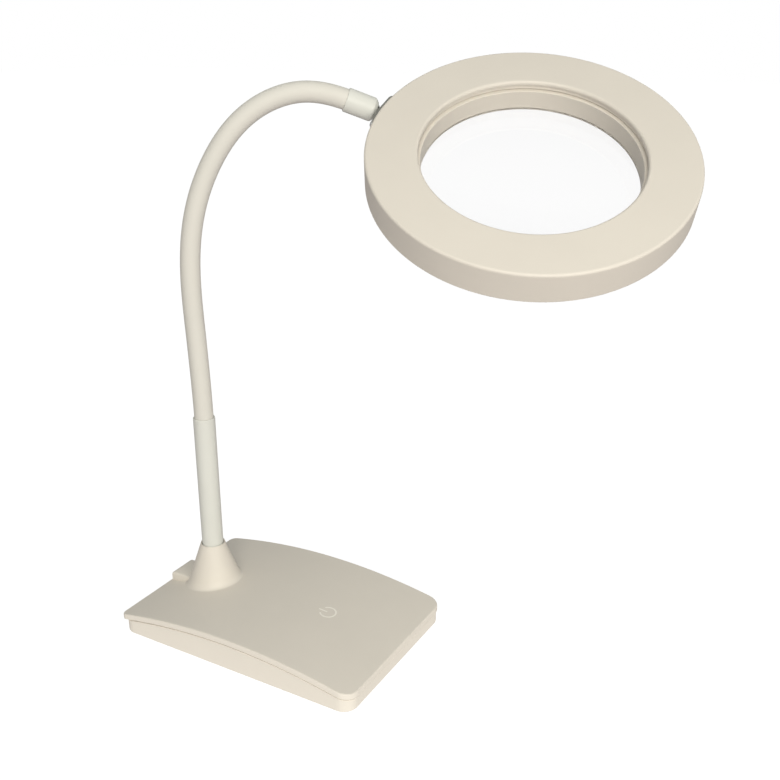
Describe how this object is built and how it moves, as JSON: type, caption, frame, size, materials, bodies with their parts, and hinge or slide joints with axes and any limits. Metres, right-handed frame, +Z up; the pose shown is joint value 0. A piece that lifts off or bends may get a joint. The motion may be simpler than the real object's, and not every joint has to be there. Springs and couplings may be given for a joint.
{
  "type": "magnifying desk lamp",
  "caption": "Desk lamp with a round magnifying lens inside a ring light, carried by a bendable gooseneck on a low weighted base.",
  "frame": {"origin": "centre of the grip pad's underside, where the lamp rests on a table", "axes": "+Z up, +Y from the front of the base, where the touch switch is, to the rear, where the neck stands"},
  "size_m": [0.1857, 0.2682, 0.309],
  "materials": {
    "casing": "satin, fine moulded texture, warm white",
    "ferrule": "satin, cool white",
    "sleeve": "matt silicone, warm white",
    "grip_rubber": "matt dark rubber",
    "iron": "painted plate",
    "print": "pale inlay",
    "circuit_board": "solder mask",
    "copper": "bare copper",
    "steel": "plain steel",
    "wire": "insulated wire",
    "nylon": "nylon",
    "milky": "translucent milky",
    "lens_glass": "clear polished",
    "bracket": "dark grey satin",
    "chrome": "polished"
  },
  "bodies": {
    "base": {"base_top_shell": "casing", "base_tray": "casing", "base_grip_pad": "grip_rubber", "base_counterweight": "iron", "case_screw_1": "steel", "case_screw_2": "steel", "case_screw_3": "steel", "case_screw_4": "steel", "switch_mark_ring": "print", "switch_mark_bar": "print", "control_board": "circuit_board", "touch_plate": "copper", "touch_spring": "steel", "power_inlet": "steel", "neck_nut": "steel", "neck_washer": "steel", "base_lead": "wire", "lower_ferrule": "ferrule", "sleeve_0": "sleeve", "core_0": "steel"},
    "neck_1": {"sleeve_1": "sleeve", "core_1": "steel"},
    "neck_2": {"sleeve_2": "sleeve", "core_2": "steel"},
    "neck_3": {"sleeve_3": "sleeve", "core_3": "steel"},
    "neck_4": {"sleeve_4": "sleeve", "core_4": "steel"},
    "neck_5": {"sleeve_5": "sleeve", "core_5": "steel"},
    "neck_6": {"sleeve_6": "sleeve", "core_6": "steel"},
    "neck_7": {"sleeve_7": "sleeve", "core_7": "steel", "upper_ferrule": "ferrule", "cup_spring": "steel"},
    "swivel": {"ball_cup": "nylon"},
    "head": {"head_top_cover": "casing", "head_chassis": "casing", "led_board": "circuit_board", "board_screw_1": "steel", "board_screw_2": "steel", "board_screw_3": "steel", "board_screw_4": "steel", "diffuser": "milky", "lens": "lens_glass", "lens_retainer": "casing", "rim_bracket": "bracket", "ball_stud": "chrome", "stud_nut": "steel", "bracket_screw_1": "chrome", "bracket_screw_2": "chrome"}
  },
  "joints": [
    {"name": "neck_bend_1", "type": "hinge", "parent": "base", "child": "neck_1", "pos_m": [-0.00014, 0.0488, 0.1358], "axis": [0.8226, 0.5686, 0], "range_deg": [-25, 12]},
    {"name": "neck_sway_2", "type": "hinge", "parent": "neck_1", "child": "neck_2", "pos_m": [-0.00066, 0.04956, 0.16678], "axis": [0.5678, -0.8215, 0.0527], "range_deg": [-20, 20]},
    {"name": "neck_bend_3", "type": "hinge", "parent": "neck_2", "child": "neck_3", "pos_m": [-0.00099, 0.05003, 0.19777], "axis": [0.8226, 0.5686, 0], "range_deg": [-25, 12]},
    {"name": "neck_sway_4", "type": "hinge", "parent": "neck_3", "child": "neck_4", "pos_m": [0.00106, 0.04707, 0.22848], "axis": [0.5522, -0.7989, -0.2386], "range_deg": [-20, 20]},
    {"name": "neck_bend_5", "type": "hinge", "parent": "neck_4", "child": "neck_5", "pos_m": [0.00739, 0.03791, 0.25732], "axis": [0.8226, 0.5686, 0], "range_deg": [-30, 10]},
    {"name": "neck_sway_6", "type": "hinge", "parent": "neck_5", "child": "neck_6", "pos_m": [0.01857, 0.02173, 0.28086], "axis": [0.3248, -0.47, -0.8207], "range_deg": [-20, 20]},
    {"name": "neck_bend_7", "type": "hinge", "parent": "neck_6", "child": "neck_7", "pos_m": [0.03491, -0.00191, 0.29121], "axis": [0.8226, 0.5686, 0], "range_deg": [-30, 10]},
    {"name": "head_turn", "type": "hinge", "parent": "neck_7", "child": "swivel", "pos_m": [0.05393, -0.0294, 0.28232], "axis": [0.5332, -0.7697, -0.3511], "range_deg": [-60, 60]},
    {"name": "head_tilt", "type": "hinge", "parent": "swivel", "child": "head", "pos_m": [0.05393, -0.0294, 0.28232], "axis": [-0.8757, 0.0591, -0.4793], "range_deg": [-56, 15]}
  ]
}
